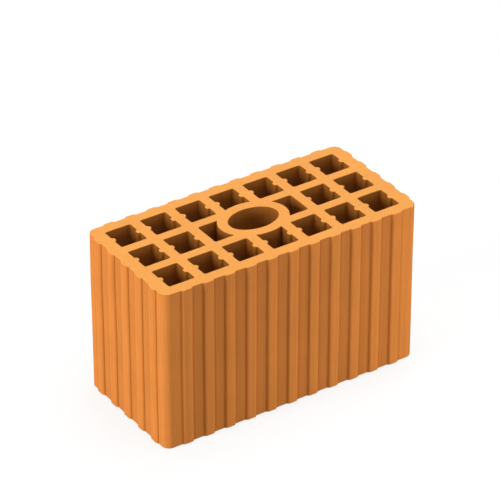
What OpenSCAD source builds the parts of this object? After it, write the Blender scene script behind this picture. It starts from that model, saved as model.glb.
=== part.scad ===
// Perforated clay brick: one fired piece, extruded through a die and cut to height by wires.
// Origin at the middle of the lower bed face, X along the length, Y across the width, Z up.
// The cells, the oval grip hole and the fluted sides all run straight through the height.

/* [Brick] */
// Length over the raised bands of the two ends
brick_length = 252; // [200:1:330]
// Width over the raised bands of the two long sides
brick_width = 120; // [105:1:180]
// Height between the two wire-cut bed faces
brick_height = 150; // [50:1:250]
// Rounding of the four upright corners
corner_radius = 7; // [1:0.5:9]

/* [Fluted sides] */
// Distance from the middle of one raised band to the next
flute_pitch = 20.6; // [15:0.1:40]
// Depth of the grooves between the bands
flute_depth = 1.5; // [0.5:0.1:3]
// Flat width on top of a raised band
band_width = 7.5; // [4:0.5:10]
// Width of the slope on either side of a band
band_slope = 1.8; // [0.5:0.1:2.4]

/* [Cells] */
// Cells along the length
cells_long = 7; // [5:2:9]
// Rows of cells across the width
cell_rows = 3; // [3:2:5]
// Wall between the end cells and the top of the end bands
end_shell = 13; // [9:0.5:18]
// Wall between the outer rows and the top of the side bands
side_shell = 11.6; // [9:0.1:16]
// Web between neighbouring cells of a row
cross_web = 9.3; // [6:0.1:12]
// Web between two rows
row_web = 9; // [6:0.1:12]
// Rounding of the cell corners
cell_radius = 1.5; // [0.5:0.1:4]
// Radius of the rounded rib in the middle of each cross web face
rib_radius = 3; // [2.6:0.1:4]
// How far a rib stands into its cell
rib_height = 2.4; // [1:0.1:2.5]

/* [Grip hole] */
// Length of the oval hole
grip_length = 45.5; // [38:0.5:60]
// Width of the oval hole
grip_width = 31; // [24:0.5:36]
// Wall of clay round the oval hole
grip_wall = 9.3; // [6:0.1:12]

/* [Hidden] */
$fn = 96;

// Plain block behind the bands
core_length = brick_length - 2 * flute_depth;
core_width = brick_width - 2 * flute_depth;

// Cells are sized in steps of the die, so that their halves and corner arcs meet exactly
die_step = 0.02;
function in_steps(size) = round(size / die_step) * die_step;

// Size and spacing of the cells
cell_length = in_steps((brick_length - 2 * end_shell - (cells_long - 1) * cross_web) / cells_long);
cell_width = in_steps((brick_width - 2 * side_shell - (cell_rows - 1) * row_web) / cell_rows);
cell_pitch = cell_length + cross_web;
row_pitch = cell_width + row_web;

// Reach of the wall round the grip hole
ring_length = grip_length + 2 * grip_wall;
ring_width = grip_width + 2 * grip_wall;

// A cell that this wall narrows to less than this is left out
least_cell = 6;

// Bands sunk this far into the block, so that they fuse with it
band_root = flute_depth;
// Cutters run this far past the bed faces
past = 1;

clay = [0.86, 0.52, 0.24];

// Bands on either side of the middle one that clear the rounded corners
function bands_each_way(core_side) =
    floor((core_side / 2 - corner_radius - band_width / 2 - band_slope) / flute_pitch);

// Middle of copy number i in a centred row of count copies
function centred(i, count, pitch) = (i - (count - 1) / 2) * pitch;

// Whether the wall round the grip hole reaches the middle line of a cell, where its ribs would stand
function beside_grip(x, y) =
    pow(max(0, abs(x) - cell_length / 2) / (ring_length / 2), 2) + pow(y / (ring_width / 2), 2) < 1;

// Whether enough of a cell is left beyond that wall, along the length or across the width
function stays_open(x, y) =
    abs(x) + cell_length / 2 - ring_length / 2 > least_cell
    || abs(y) + cell_width / 2 - ring_width / 2 > least_cell;

module rounded_rectangle(length, width, radius) {
    square([length - 2 * radius, width], center = true);
    square([length, width - 2 * radius], center = true);
    for (x = [-1, 1], y = [-1, 1]) {
        translate([x * (length / 2 - radius), y * (width / 2 - radius)]) circle(radius);
    }
}

module ellipse(length, width) {
    scale([length / width, 1]) circle(d = width);
}

// Section of one raised band on a side that faces +Y, its foot on y = 0
module band() {
    top = band_width / 2;
    foot = top + band_slope;
    polygon([
        [-foot, -band_root],
        [foot, -band_root],
        [foot, 0],
        [top, flute_depth],
        [-top, flute_depth],
        [-foot, 0]
    ]);
}

// Bands along two opposite sides of the block, which face +Y and -Y
module bands(side_length, distance) {
    reach = bands_each_way(side_length);
    for (turn = [0, 180], i = [-reach : reach]) {
        rotate(turn) translate([i * flute_pitch, distance / 2]) band();
    }
}

module outline() {
    rounded_rectangle(core_length, core_width, corner_radius);
    bands(core_length, core_width);
    rotate(90) bands(core_width, core_length);
}

// Rounded ribs on the two cross web faces of a cell
module ribs() {
    for (side = [-1, 1]) {
        translate([side * (cell_length / 2 + rib_radius - rib_height), 0]) circle(rib_radius);
    }
}

module cell(x, y) {
    difference() {
        translate([x, y]) {
            difference() {
                rounded_rectangle(cell_length, cell_width, cell_radius);
                if (!beside_grip(x, y)) ribs();
            }
        }
        ellipse(ring_length, ring_width);
    }
}

module cells() {
    for (i = [0 : cells_long - 1], j = [0 : cell_rows - 1]) {
        x = centred(i, cells_long, cell_pitch);
        y = centred(j, cell_rows, row_pitch);
        if (stays_open(x, y)) cell(x, y);
    }
}

module brick() {
    color(clay) difference() {
        linear_extrude(brick_height) outline();
        translate([0, 0, -past]) linear_extrude(brick_height + 2 * past) {
            cells();
            ellipse(grip_length, grip_width);
        }
    }
}

brick();
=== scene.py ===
"""Perforated clay brick on a pale studio floor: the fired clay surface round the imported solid."""

import math

import bpy
import numpy as np
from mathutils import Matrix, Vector, geometry, noise


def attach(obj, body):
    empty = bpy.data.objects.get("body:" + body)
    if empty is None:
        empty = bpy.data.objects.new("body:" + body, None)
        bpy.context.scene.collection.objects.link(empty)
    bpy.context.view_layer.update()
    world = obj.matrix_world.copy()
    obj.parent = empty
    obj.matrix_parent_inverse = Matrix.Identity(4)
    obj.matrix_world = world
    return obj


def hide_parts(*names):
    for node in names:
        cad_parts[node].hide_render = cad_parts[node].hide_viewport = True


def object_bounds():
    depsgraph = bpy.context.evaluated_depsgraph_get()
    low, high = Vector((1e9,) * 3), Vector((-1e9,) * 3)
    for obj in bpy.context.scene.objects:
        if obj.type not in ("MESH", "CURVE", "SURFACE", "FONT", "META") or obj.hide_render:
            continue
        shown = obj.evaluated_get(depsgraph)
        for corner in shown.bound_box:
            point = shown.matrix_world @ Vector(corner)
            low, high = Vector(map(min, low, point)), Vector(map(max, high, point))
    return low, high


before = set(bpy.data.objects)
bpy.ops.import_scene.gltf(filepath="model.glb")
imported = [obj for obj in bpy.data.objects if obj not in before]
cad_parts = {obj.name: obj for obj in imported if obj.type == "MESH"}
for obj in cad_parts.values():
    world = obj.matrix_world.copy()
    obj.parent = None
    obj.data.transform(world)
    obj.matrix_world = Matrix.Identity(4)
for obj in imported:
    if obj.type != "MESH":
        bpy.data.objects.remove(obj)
cad_low, cad_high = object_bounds()

MM = 0.001
BRICK_HEIGHT = cad_high.z - cad_low.z
BRICK_MIDDLE = (cad_low + cad_high) / 2

# Camera, as it stood for the photograph
VIEW_AZIMUTH = math.radians(-33.84)
VIEW_ELEVATION = math.radians(32.49)
VIEW_DISTANCE = 2.6652
VIEW_AIM = Vector((-0.0021, 0.0016, 0.1187))
SENSOR_WIDTH = 36.0
LENS = 232.5

# Points of the outlines: a corner that turns by more than CORNER_TURN is sharp, and is cut round
CORNER_TURN = math.radians(20)
CORNER_STEPS = 4
EDGE_CUT = 1.1 * MM
FOOT_CUT = 0.4 * MM
LARGEST_CUT_SHARE = 0.45  # of the stretch beside the corner
LEAST_STEP = 0.4 * MM
SIDE_STEP = 0.8 * MM
CELL_STEP = 2.4 * MM
LEAST_MITRE = 0.5  # limits how far an inset is lengthened at a corner
WELD = 1e-6  # corners are rounded to this, so that those of two faces meet

# Points of the walls and of the bed faces
WALL_STEP = 11.0 * MM
RIM_STEPS = 4
BED_STEP = 1.7 * MM
BED_ROW_STEP = BED_STEP * math.sqrt(0.75)
BED_CLEARANCE = 0.45 * BED_STEP
TRIANGLE_TOLERANCE = 1e-5  # in millimetres
FLAT_FACE_WEIGHT = 80

# Fine relief: worn rims, drag lines of the die, tears of the cutting wire, and the warp of drying and firing
RIM_RADIUS = 0.45 * MM
RIM_WEAR = 0.3 * MM
WEAR_LENGTH = 9 * MM
WEAR_LAYER = 40  # layers keep one noise apart from another
DRAG_HEIGHT = 0.05 * MM
DRAG_WIDTH = 2.2 * MM
DRAG_LENGTH = 190 * MM
BROAD_DRAG_SHARE = 0.6
BROAD_DRAG_WIDTH = 5.5 * MM
BROAD_DRAG_LENGTH = 260 * MM
BROAD_DRAG_LAYER = 7
TEAR_HEIGHT = 0.06 * MM
TEAR_WIDTH = 3.4 * MM
TEAR_LENGTH = 11 * MM
BLOTCH_SHARE = 0.7
BLOTCH_SIZE = 7 * MM
BLOTCH_LAYER = 5
WARP_REACH = 0.4 * MM
WARP_LENGTH = 75 * MM
WARP_SEED = 11

# Painted shade at the feet of the bands and of the ribs, and how strong the painted groove shade is on the
# ends; on the ends the crease shade reaches far past one side of each band, as a painted shadow
CREASE_REACH = 1.1 * MM
SIDE_FLOOR_CREASE = 1.0 * MM
END_FLOOR_CREASE = 0.32 * MM
END_LEE_CREASE = 1.1 * MM
END_SLOPE_CREASE = 0.7 * MM
CREASE_SHARE = 0.5
END_GROOVE_SHARE = 0.55

# Colours of the clay; the groove, cell wall, crease and pore colours are painted shade, and the bed tone is
# partly a painted highlight
SIDE_CLAY = (0.78, 0.263, 0.0525, 1)
# painted shade: the grooves between the bands are darker than the bands
GROOVE_PAINTED_SHADE = (0.645, 0.215, 0.043, 1)
# paler bed tone: partly the wire-cut clay, partly a painted highlight of the brightly lit top
BED_CLAY_AND_HIGHLIGHT = (0.78, 0.33, 0.075, 1)
# painted shade: the walls of the cells and of the grip hole are darkened for the shade deep in the holes
CELL_PAINTED_SHADE = (0.39, 0.137, 0.021, 1)
# painted shade at the feet of the bands and of the ribs
CREASE_PAINTED_SHADE = (0.59, 0.47, 0.24, 1)
RED_TINT = (1.02, 0.97, 0.96, 1)
YELLOW_TINT = (0.98, 1.03, 1.04, 1)
# painted shade in the pores
PORE_PAINTED_SHADE = (0.84, 0.8, 0.76, 1)

# Texture of the clay: widths of its marks, and how slim they are where the die or the wire drew them out
STREAK_WIDTH = 2.6 * MM
BROAD_STREAK_WIDTH = 11 * MM
SCRATCH_WIDTH = 0.7 * MM
DRAWN_SLIMNESS = 0.015
TORN_WIDTH = 1.5 * MM
TORN_SLIMNESS = 0.5
MOTTLE_WIDTH = 32 * MM
GRAIN_WIDTH = 1.6 * MM
PORE_SPACING = 4 * MM
PORE_EDGES = (0.03, 0.1)  # shares of the spacing
NOISE_RANGE = (0.3, 0.7)  # where most of a noise lies
BED_FACING = (0.55, 0.9)  # upright share of the normal, from wall to bed

# How far each texture sways the tone of the clay, how deep its bump is, and the finish
STREAK_SWAY = 0.045
SCRATCH_SWAY = 0.015
TORN_SWAY = 0.035
MOTTLE_SWAY = 0.025
GRAIN_SWAY = 0.02
BUMP_STRENGTH = 0.6
STREAK_BUMP = 0.06 * MM
SCRATCH_BUMP = 0.02 * MM
GRAIN_BUMP = 0.05 * MM
TORN_BUMP = 0.3 * MM
PORE_BUMP = 0.2 * MM
ROUGHNESS_RANGE = (0.82, 0.94)
SPECULAR_LEVEL = 0.12

# Floor and surroundings
WHITE = (1, 1, 1, 1)
FLOOR_HALF = 6.0
FLOOR_GAP = 0.2 * MM
TABLE_GREY = (0.35, 0.35, 0.35, 1)
TABLE_GLOW = 0.07
TABLE_GLOW_SHARE = 0.5
SHADOWED_WHITE = (0.9, 0.9, 0.9, 1)
PURE_WHITE_SHARE = 0.8
AMBIENT = 0.13


def bed_outlines(brick):
    """Outlines of the upper bed face in the frame, the outer one first, each with the clay on its left."""
    mesh = brick.data
    mesh.calc_loop_triangles()
    corners = np.empty(len(mesh.vertices) * 3)
    mesh.vertices.foreach_get("co", corners)
    triangles = np.empty(len(mesh.loop_triangles) * 3, int)
    mesh.loop_triangles.foreach_get("vertices", triangles)
    corners = np.round(corners.reshape(-1, 3) / WELD).astype(int)
    corners, same = np.unique(corners, axis=0, return_inverse=True)
    triangles = same.reshape(-1)[triangles].reshape(-1, 3)
    upper = (corners[triangles][:, :, 2] == corners[:, 2].max()).all(axis=1)
    steps = {}
    for a, b, c in triangles[upper]:
        for start, end in ((a, b), (b, c), (c, a)):
            steps[start, end] = True
    follow = {start: end for start, end in steps if (end, start) not in steps}
    outlines = []
    while follow:
        start, here = follow.popitem()
        order = [start]
        while here != start:
            order.append(here)
            here = follow.pop(here)
        outlines.append(corners[order][:, :2] * WELD)
    outlines.sort(key=lambda outline: -np.ptp(outline[:, 0]))
    return outlines


def turns(points):
    """Turn of a closed outline at each point, to the left positive."""
    arriving = points - np.roll(points, 1, axis=0)
    leaving = np.roll(points, -1, axis=0) - points
    cross = arriving[:, 0] * leaving[:, 1] - arriving[:, 1] * leaving[:, 0]
    return np.arctan2(cross, (arriving * leaving).sum(axis=1))


def thinned(points):
    """The outline with fewer points on its tight arcs."""
    sharp = np.abs(turns(points)) > CORNER_TURN
    first = int(np.argmax(np.linalg.norm(points - np.roll(points, 1, axis=0), axis=1)))
    kept = [points[first]]
    for i in range(1, len(points)):
        here = (first + i) % len(points)
        long_enough = np.linalg.norm(points[here] - kept[-1]) > LEAST_STEP
        leaving = np.linalg.norm(points[(here + 1) % len(points)] - points[here]) > LEAST_STEP
        if sharp[here] or long_enough or leaving:
            kept.append(points[here])
    return np.array(kept)


def softened(points):
    """The outline with each sharp corner turned into a small curve."""
    made = []
    for i, turn in enumerate(turns(points)):
        here = points[i]
        if abs(turn) < CORNER_TURN:
            made.append(here)
            continue
        before = points[i - 1] - here
        after = points[(i + 1) % len(points)] - here
        cut = EDGE_CUT if turn > 0 else FOOT_CUT
        start = here + before * min(cut / np.linalg.norm(before), LARGEST_CUT_SHARE)
        end = here + after * min(cut / np.linalg.norm(after), LARGEST_CUT_SHARE)
        for t in np.linspace(0, 1, CORNER_STEPS + 1):
            made.append((1 - t) ** 2 * start + 2 * t * (1 - t) * here + t**2 * end)
    return np.array(made)


def divided(points, longest):
    """The outline with its long straight stretches divided evenly."""
    made = []
    for here, there in zip(points, np.roll(points, -1, axis=0)):
        count = max(1, math.ceil(np.linalg.norm(there - here) / longest))
        for k in range(count):
            made.append(here + (there - here) * k / count)
    return np.array(made)


def clay_side(points):
    """Unit steps into the clay at each point, lengthened at corners so that an inset keeps its width."""
    along = np.roll(points, -1, axis=0) - points
    along /= np.linalg.norm(along, axis=1, keepdims=True)
    normal = np.stack((-along[:, 1], along[:, 0]), axis=1)
    both = normal + np.roll(normal, 1, axis=0)
    both /= np.linalg.norm(both, axis=1, keepdims=True)
    return both / np.maximum((both * normal).sum(axis=1, keepdims=True), LEAST_MITRE)


def in_clay(points, outlines):
    """Whether each point lies inside the section, counting crossings of all the outlines."""
    inside = np.zeros(len(points), bool)
    for outline in outlines:
        for (x0, y0), (x1, y1) in zip(outline, np.roll(outline, -1, axis=0)):
            if y0 == y1:
                continue
            spans = (points[:, 1] >= min(y0, y1)) & (points[:, 1] < max(y0, y1))
            inside ^= spans & (points[:, 0] < x0 + (points[:, 1] - y0) * (x1 - x0) / (y1 - y0))
    return inside


def bed_grid(rims):
    """Staggered points over the bed face, clear of its rims."""
    low = np.min([rim.min(axis=0) for rim in rims], axis=0)
    high = np.max([rim.max(axis=0) for rim in rims], axis=0)
    rows = np.arange(low[1], high[1], BED_ROW_STEP)
    points = []
    for j, y in enumerate(rows):
        x = np.arange(low[0] + BED_STEP / 2 * (j % 2), high[0], BED_STEP)
        points.append(np.stack((x, np.full_like(x, y)), axis=1))
    points = np.concatenate(points)
    points = points[in_clay(points, rims)]
    rim_points = np.concatenate(rims)
    nearest = np.array([np.min(np.sum((rim_points - p) ** 2, axis=1)) for p in points])
    return points[nearest > BED_CLEARANCE**2]


def bed_triangles(rims, inner):
    """Triangles of the bed face, as places in the list of all rim points and then the inner ones."""
    points = np.concatenate(rims + [inner])
    edges = []
    first = 0
    for rim in rims:
        edges += [(first + k, first + (k + 1) % len(rim)) for k in range(len(rim))]
        first += len(rim)
    places = [Vector(p / MM) for p in points]
    _, _, faces, origins, _, _ = geometry.delaunay_2d_cdt(places, edges, [], 0, TRIANGLE_TOLERANCE)
    faces = np.array([[origins[k][0] for k in face] for face in faces])
    middles = points[faces].mean(axis=1)
    return faces[in_clay(middles, rims)]


def wave(x, y, z):
    """Smooth noise from -1 to 1 at a place given in wavelengths."""
    return noise.noise(Vector((x, y, z)))


def wall_relief(x, y, z):
    """Drag lines of the die, which run up the walls."""
    narrow = wave(x / DRAG_WIDTH, y / DRAG_WIDTH, z / DRAG_LENGTH)
    broad = wave(x / BROAD_DRAG_WIDTH, y / BROAD_DRAG_WIDTH, BROAD_DRAG_LAYER + z / BROAD_DRAG_LENGTH)
    return DRAG_HEIGHT * (narrow + BROAD_DRAG_SHARE * broad)


def bed_relief(x, y, layer):
    """Tear marks of the cutting wire on a bed face, in a layer of the noise for each face."""
    tear = wave(x / TEAR_WIDTH, y / TEAR_LENGTH, layer)
    blotch = wave(x / BLOTCH_SIZE, y / BLOTCH_SIZE, BLOTCH_LAYER + layer)
    return TEAR_HEIGHT * (tear + BLOTCH_SHARE * blotch)


def rim_radius(x, y, level):
    """Radius of a rim, which is worn rounder in some places."""
    wear = (1 + wave(x / WEAR_LENGTH, y / WEAR_LENGTH, WEAR_LAYER + level / MM)) / 2
    return RIM_RADIUS + RIM_WEAR * wear**2


def fired(place):
    """A place on the brick after drying and firing, which warp the clay a little sideways."""
    shift = noise.noise_vector(Vector(place) / WARP_LENGTH) * WARP_REACH
    return place[0] + shift.x, place[1] + shift.y, place[2]


def rim_profile():
    """Rows of the wall from the upper bed down to the lower one.

    Each row has the shares of the rim radius by which it is inset and sunk, and the level before it is sunk.
    """
    rows = []
    for k in range(RIM_STEPS + 1):
        bend = math.pi / 2 * k / RIM_STEPS
        rows.append((1 - math.sin(bend), 1 - math.cos(bend), BRICK_HEIGHT))
    count = round(BRICK_HEIGHT / WALL_STEP)
    middle = [(0.0, 0.0, BRICK_HEIGHT * (1 - k / count)) for k in range(1, count)]
    lower = [(inset, -sunk, 0.0) for inset, sunk, _ in reversed(rows)]
    return rows + middle + lower


def from_feet(outline, feet):
    """Step to each point from the foot nearest to it, a foot being where a wall turns into the clay."""
    steps = outline[:, None] - feet[None]
    nearest = np.linalg.norm(steps, axis=2).argmin(axis=1)
    return steps[np.arange(len(outline)), nearest]


def faded(steps, reach):
    """Share that is 1 at a foot and fades to 0 past its reach."""
    return np.exp(-((np.linalg.norm(steps, axis=1) / reach) ** 2))


def on_ends(points, half):
    """Whether each point of the outer outline lies on an end of the brick, not on a long side."""
    below = half - np.abs(points)
    return below[:, 0] < below[:, 1]


def groove_share(outline, feet):
    """How far each point of the outer outline lies down in a groove between two bands, from 0 to 1."""
    half = np.abs(outline).max(axis=0)
    flute_depth = (half - np.abs(feet)).min(axis=1).mean()
    depth = (half - np.abs(outline)) / flute_depth
    on_end = on_ends(outline, half)
    foot_on_end = on_ends(feet, half)
    last = np.where(on_end, np.abs(feet[foot_on_end, 1]).max(), np.abs(feet[~foot_on_end, 0]).max())
    along = np.where(on_end, np.abs(outline[:, 1]), np.abs(outline[:, 0]))
    between = np.clip((last - along) / flute_depth, 0, 1)
    return np.clip(depth.min(axis=1), 0, 1) * between


def outer_shares(outline, feet):
    """Shares of the painted groove shade and of the painted crease shade round the outer outline.

    On the ends the groove shade is fainter and the crease shade is stronger. There the crease shade reaches
    far over the floor of the groove past a band, going round the outline, as a painted shadow, and only a
    little before the next band.
    """
    sunk = groove_share(outline, feet)
    on_end = on_ends(outline, np.abs(outline).max(axis=0))
    steps = from_feet(outline, feet)
    past_band = steps[:, 1] * outline[:, 0] > 0
    end_floor = np.where(past_band, END_LEE_CREASE, END_FLOOR_CREASE)
    floor_reach = np.where(on_end, end_floor, SIDE_FLOOR_CREASE)
    slope_reach = np.where(on_end, END_SLOPE_CREASE, CREASE_REACH)
    reach = slope_reach + (floor_reach - slope_reach) * sunk
    # painted shade in the creases at the band feet, one-sided on the ends as a painted shadow
    crease = faded(steps, reach) * np.where(on_end, 1, CREASE_SHARE)
    return sunk * np.where(on_end, END_GROOVE_SHARE, 1), crease


def inner_shares(outline, feet):
    """The same for a cell or the grip hole, which has no grooves, and no feet where it has no ribs."""
    none = np.zeros(len(outline))
    if not len(feet):
        return none, none
    # painted shade at the feet of the ribs in the cells
    return none, faded(from_feet(outline, feet), CREASE_REACH) * CREASE_SHARE


class Skin:
    """The clay surface as it is made: its points, its faces, and each point's shares for the material."""

    def __init__(self):
        self.places = []
        self.faces = []
        self.shares = {"cell_wall": [], "groove": [], "crease": []}

    def add_point(self, place, cell_wall=0.0, groove=0.0, crease=0.0):
        """One more point, with its shares."""
        self.places.append(place)
        self.shares["cell_wall"].append(cell_wall)
        self.shares["groove"].append(groove)
        self.shares["crease"].append(crease)

    def add_wall(self, outline, cell_wall, groove, crease):
        """Wall round one outline; gives its upper and its lower rim as numbers of points."""
        rows = rim_profile()
        inward = clay_side(outline)
        count = len(outline)
        first = len(self.places)
        for inset, sunk, level in rows:
            for k, (x, y) in enumerate(outline):
                radius = rim_radius(x, y, level)
                z = level - radius * sunk
                push = radius * inset - wall_relief(x, y, z) * (1 - inset)
                place = (x + inward[k][0] * push, y + inward[k][1] * push, z)
                self.add_point(place, (1 - inset) * cell_wall, groove[k], crease[k] * (1 - inset))
        numbers = np.arange(first, len(self.places)).reshape(len(rows), count)
        for upper, lower in zip(numbers.tolist(), numbers[1:].tolist()):
            for k in range(count):
                after = (k + 1) % count
                self.faces.append((upper[k], lower[k], lower[after], upper[after]))
        return numbers[0].tolist(), numbers[-1].tolist()

    def add_bed(self, rims, level, outward):
        """Torn bed face between the rims, facing up where outward is 1 and down where it is -1."""
        outlines = [np.array([self.places[k][:2] for k in rim]) for rim in rims]
        inner = bed_grid(outlines)
        first = len(self.places)
        for x, y in inner:
            self.add_point((x, y, level - outward * abs(bed_relief(x, y, level / MM))))
        numbers = sum(rims, []) + list(range(first, len(self.places)))
        for face in bed_triangles(outlines, inner):
            corners = tuple(numbers[k] for k in face)
            self.faces.append(corners[::outward])


def brick_mesh(outlines, feet):
    """Closed mesh of the brick: walls with drag lines, worn rims and torn bed faces."""
    skin = Skin()
    upper_rims, lower_rims = [], []
    for number, outline in enumerate(outlines):
        is_cell = number > 0
        shares = inner_shares if is_cell else outer_shares
        upper, lower = skin.add_wall(outline, float(is_cell), *shares(outline, feet[number]))
        upper_rims.append(upper)
        lower_rims.append(lower)
    skin.add_bed(upper_rims, BRICK_HEIGHT, 1)
    skin.add_bed(lower_rims, 0.0, -1)
    noise.seed_set(WARP_SEED)
    mesh = bpy.data.meshes.new("brick_body")
    mesh.from_pydata([fired(place) for place in skin.places], [], skin.faces)
    for name, values in skin.shares.items():
        mesh.attributes.new(name, "FLOAT", "POINT").data.foreach_set("value", values)
    mesh.shade_smooth()
    mesh.validate()
    return mesh


def feed(tree, socket, value):
    """Sets a node's input to a constant, or links it where the value is another node's output."""
    if isinstance(value, bpy.types.NodeSocket):
        tree.links.new(value, socket)
    else:
        socket.default_value = value


def shade(tree, kind, output=0, settings=(), **inputs):
    """New shader node with its settings made and its inputs fed by name; gives one of its outputs."""
    made = tree.nodes.new("ShaderNode" + kind)
    for name, value in dict(settings).items():
        setattr(made, name, value)
    for name, value in inputs.items():
        feed(tree, made.inputs[name.replace("_", " ")], value)
    return made.outputs[output]


def worked_out(tree, operation, *values):
    """Output of a math node with its inputs fed in order."""
    made = tree.nodes.new("ShaderNodeMath")
    made.operation = operation
    for socket, value in zip(made.inputs, values):
        feed(tree, socket, value)
    return made.outputs[0]


def blend(tree, kind, share, under, over):
    """Colour under another, which is laid on by its share."""
    made = tree.nodes.new("ShaderNodeMix")
    made.data_type = "RGBA"
    made.blend_type = kind
    sockets = [s for s in made.inputs if s.enabled]
    for socket, value in zip(sockets, (share, under, over)):
        feed(tree, socket, value)
    return next(s for s in made.outputs if s.enabled)


def lay_over(tree, share, under, over):
    """Shader under another, which is laid on by its share."""
    made = tree.nodes.new("ShaderNodeMixShader")
    for socket, value in zip(made.inputs, (share, under, over)):
        feed(tree, socket, value)
    return made.outputs[0]


def ranged(tree, value, source, target):
    """Value carried smoothly from one range to another."""
    return shade(
        tree, "MapRange", settings={"interpolation_type": "SMOOTHSTEP"}, Value=value,
        From_Min=source[0], From_Max=source[1], To_Min=target[0], To_Max=target[1],
    )


def swayed(tree, clay, texture, sway):
    """Clay with its tone swayed to either side by a noise texture."""
    return blend(tree, "MULTIPLY", 1.0, clay, ranged(tree, texture, NOISE_RANGE, (1 - sway, 1 + sway)))


def share_of(tree, name):
    """Output of one of the shares that the mesh carries."""
    return shade(tree, "Attribute", "Fac", settings={"attribute_name": name})


def fired_clay():
    """Matte terracotta: die-smoothed sides, paler wire-cut beds whose tone is partly a painted highlight,
    and painted shade on the cell walls, in the grooves, the creases and the pores.
    """
    material = bpy.data.materials.new("fired_clay")
    material.use_nodes = True
    tree = material.node_tree
    shader = tree.nodes["Principled BSDF"]

    # Masks and textures
    place = shade(tree, "TexCoord", "Object")
    upright = shade(tree, "SeparateXYZ", "Z", Vector=shade(tree, "NewGeometry", "Normal"))
    bed = ranged(tree, worked_out(tree, "ABSOLUTE", upright), BED_FACING, (0, 1))
    drawn_out = shade(tree, "Mapping", Vector=place, Scale=(1, 1, DRAWN_SLIMNESS))
    streak = shade(tree, "TexNoise", Vector=drawn_out, Scale=1 / STREAK_WIDTH, Detail=3.0)
    broad_streak = shade(tree, "TexNoise", Vector=drawn_out, Scale=1 / BROAD_STREAK_WIDTH, Detail=2.0)
    scratch = shade(tree, "TexNoise", Vector=drawn_out, Scale=1 / SCRATCH_WIDTH, Detail=2.0)
    mottle = shade(tree, "TexNoise", Vector=place, Scale=1 / MOTTLE_WIDTH, Detail=3.0)
    grain = shade(tree, "TexNoise", Vector=place, Scale=1 / GRAIN_WIDTH, Detail=4.0, Roughness=0.6)
    wire_way = shade(tree, "Mapping", Vector=place, Scale=(1, TORN_SLIMNESS, 1))
    tear = shade(tree, "TexNoise", Vector=wire_way, Scale=1 / TORN_WIDTH, Detail=5.0, Roughness=0.65)
    torn = worked_out(tree, "MULTIPLY", tear, bed)
    pore_distance = shade(tree, "TexVoronoi", Vector=place, Scale=1 / PORE_SPACING, Randomness=1.0)
    pore = ranged(tree, pore_distance, PORE_EDGES, (1, 0))

    # Colour
    # painted shade: the grooves are darkened
    clay = blend(tree, "MIX", share_of(tree, "groove"), SIDE_CLAY, GROOVE_PAINTED_SHADE)
    # painted shade: the cell walls are darkened
    clay = blend(tree, "MIX", share_of(tree, "cell_wall"), clay, CELL_PAINTED_SHADE)
    # painted shade at the feet of the bands and of the ribs
    clay = blend(tree, "MULTIPLY", share_of(tree, "crease"), clay, CREASE_PAINTED_SHADE)
    clay = swayed(tree, clay, streak, STREAK_SWAY)
    clay = blend(tree, "MULTIPLY", 1.0, clay, blend(tree, "MIX", broad_streak, RED_TINT, YELLOW_TINT))
    clay = swayed(tree, clay, scratch, SCRATCH_SWAY)
    # bed faces take a paler tone, partly the cut clay and partly a painted highlight
    clay = blend(tree, "MIX", bed, clay, swayed(tree, BED_CLAY_AND_HIGHLIGHT, tear, TORN_SWAY))
    clay = swayed(tree, clay, mottle, MOTTLE_SWAY)
    clay = swayed(tree, clay, grain, GRAIN_SWAY)
    # painted shade in the pores
    clay = blend(tree, "MULTIPLY", pore, clay, PORE_PAINTED_SHADE)
    feed(tree, shader.inputs["Base Color"], clay)

    # Finish
    feed(tree, shader.inputs["Roughness"], ranged(tree, grain, NOISE_RANGE, ROUGHNESS_RANGE))
    feed(tree, shader.inputs["Specular IOR Level"], SPECULAR_LEVEL)
    bumped = shade(tree, "Bump", Strength=BUMP_STRENGTH, Distance=STREAK_BUMP, Height=streak)
    for texture, depth in ((scratch, SCRATCH_BUMP), (grain, GRAIN_BUMP), (torn, TORN_BUMP)):
        bumped = shade(tree, "Bump", Strength=BUMP_STRENGTH, Distance=depth, Height=texture, Normal=bumped)
    bumped = shade(
        tree, "Bump", settings={"invert": True},
        Strength=BUMP_STRENGTH, Distance=PORE_BUMP, Height=pore, Normal=bumped,
    )
    feed(tree, shader.inputs["Normal"], bumped)
    return material


def add_brick():
    """The brick, made round the outlines of the solid in the frame."""
    dressed, feet = [], []
    for number, outline in enumerate(bed_outlines(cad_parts["brick"])):
        step = CELL_STEP if number else SIDE_STEP
        dressed.append(divided(softened(thinned(outline)), step))
        feet.append(outline[turns(outline) < -CORNER_TURN])
    brick = bpy.data.objects.new("brick_body", brick_mesh(dressed, feet))
    bpy.context.scene.collection.objects.link(brick)
    brick.modifiers.new("flat_faces", "WEIGHTED_NORMAL").weight = FLAT_FACE_WEIGHT
    brick.data.materials.append(fired_clay())
    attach(brick, "root")
    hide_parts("brick")


def add_camera():
    """The camera, looking at its aim from the photograph's angle."""
    data = bpy.data.cameras.new("camera")
    data.sensor_width = SENSOR_WIDTH
    data.lens = LENS
    back = Vector((
        math.sin(VIEW_AZIMUTH) * math.cos(VIEW_ELEVATION),
        -math.cos(VIEW_AZIMUTH) * math.cos(VIEW_ELEVATION),
        math.sin(VIEW_ELEVATION),
    ))
    camera = bpy.data.objects.new("camera", data)
    camera.location = VIEW_AIM + back * VIEW_DISTANCE
    camera.rotation_euler = back.to_track_quat("Z", "Y").to_euler()
    bpy.context.scene.collection.objects.link(camera)
    bpy.context.scene.camera = camera


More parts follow.
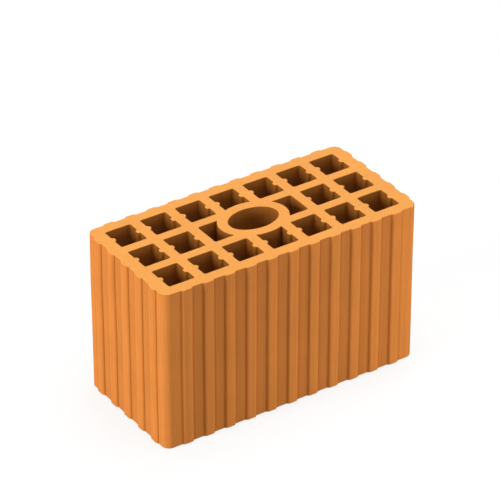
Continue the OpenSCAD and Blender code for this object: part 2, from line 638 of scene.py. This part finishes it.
def add_softbox(name, place, aim, width, height, watts):
    """A rectangular lamp that shines from its place towards its aim."""
    data = bpy.data.lights.new(name, "AREA")
    data.shape = "RECTANGLE"
    data.size = width
    data.size_y = height
    data.energy = watts
    lamp = bpy.data.objects.new(name, data)
    lamp.visible_camera = False
    lamp.location = place
    lamp.rotation_euler = (Vector(place) - Vector(aim)).to_track_quat("Z", "Y").to_euler()
    bpy.context.scene.collection.objects.link(lamp)


def add_lamps():
    """Soft light from above, left, front and behind, and two small near lamps, low beside the brick."""
    add_softbox("overhead", place=(0.5, 0, 4.0), aim=(0, 0, 0), width=3.4, height=3.4, watts=156)
    add_softbox("left", place=(-2.85, 0.1, 0.85), aim=BRICK_MIDDLE, width=0.4, height=1.8, watts=65)
    add_softbox(
        "near_left", place=(-0.55, 0.02, 0.04), aim=(-0.12, 0, 0.05), width=0.12, height=0.08, watts=0.2
    )
    add_softbox("front", place=(0.2, -2.5, 0.72), aim=BRICK_MIDDLE, width=1.6, height=0.8, watts=15.5)
    add_softbox(
        "near_right", place=(0.31, -0.37, 0.05), aim=(0.06, -0.06, 0.05), width=0.18, height=0.14, watts=0.66
    )
    add_softbox("back", place=(1.4, 2.4, 0.4), aim=BRICK_MIDDLE, width=1.6, height=1.2, watts=28)


def seen_directly(tree):
    """Output that is 1 for rays from the camera, off gloss or through glass, and 0 for other light."""
    path = tree.nodes.new("ShaderNodeLightPath")
    seen = path.outputs["Is Camera Ray"]
    for name in ("Is Glossy Ray", "Is Transmission Ray"):
        seen = worked_out(tree, "MAXIMUM", seen, path.outputs[name])
    return seen


def set_world():
    """White surroundings to the camera, and a dim even light on the brick."""
    world = bpy.data.worlds.new("studio")
    world.use_nodes = True
    tree = world.node_tree
    tree.nodes.remove(tree.nodes["Background"])
    dim = shade(tree, "Background", Color=WHITE, Strength=AMBIENT)
    white = shade(tree, "Background", Color=WHITE, Strength=1.0)
    sky = lay_over(tree, seen_directly(tree), dim, white)
    feed(tree, tree.nodes["World Output"].inputs["Surface"], sky)
    bpy.context.scene.world = world


def floor_paint():
    """Pale floor: white to the camera with a faint shadow, and a dim table to the light that leaves it."""
    material = bpy.data.materials.new("floor")
    material.use_nodes = True
    tree = material.node_tree
    tree.nodes.remove(tree.nodes["Principled BSDF"])
    grey = shade(tree, "BsdfDiffuse", Color=TABLE_GREY)
    glow = shade(tree, "Emission", Color=WHITE, Strength=TABLE_GLOW)
    table = lay_over(tree, TABLE_GLOW_SHARE, grey, glow)
    shadowed = shade(tree, "BsdfDiffuse", Color=SHADOWED_WHITE)
    pure = shade(tree, "Emission", Color=WHITE, Strength=1.0)
    pale = lay_over(tree, PURE_WHITE_SHARE, shadowed, pure)
    floor = lay_over(tree, seen_directly(tree), table, pale)
    feed(tree, tree.nodes["Material Output"].inputs["Surface"], floor)
    return material


def add_floor():
    """A wide floor just under the brick."""
    level = cad_low.z - FLOOR_GAP
    sides = ((-1, -1), (1, -1), (1, 1), (-1, 1))
    mesh = bpy.data.meshes.new("floor")
    mesh.from_pydata([(x * FLOOR_HALF, y * FLOOR_HALF, level) for x, y in sides], [], [(0, 1, 2, 3)])
    mesh.materials.append(floor_paint())
    floor = bpy.data.objects.new("floor", mesh)
    bpy.context.scene.collection.objects.link(floor)


add_brick()
add_camera()
add_lamps()
set_world()
add_floor()
bpy.context.scene.view_settings.view_transform = "Standard"
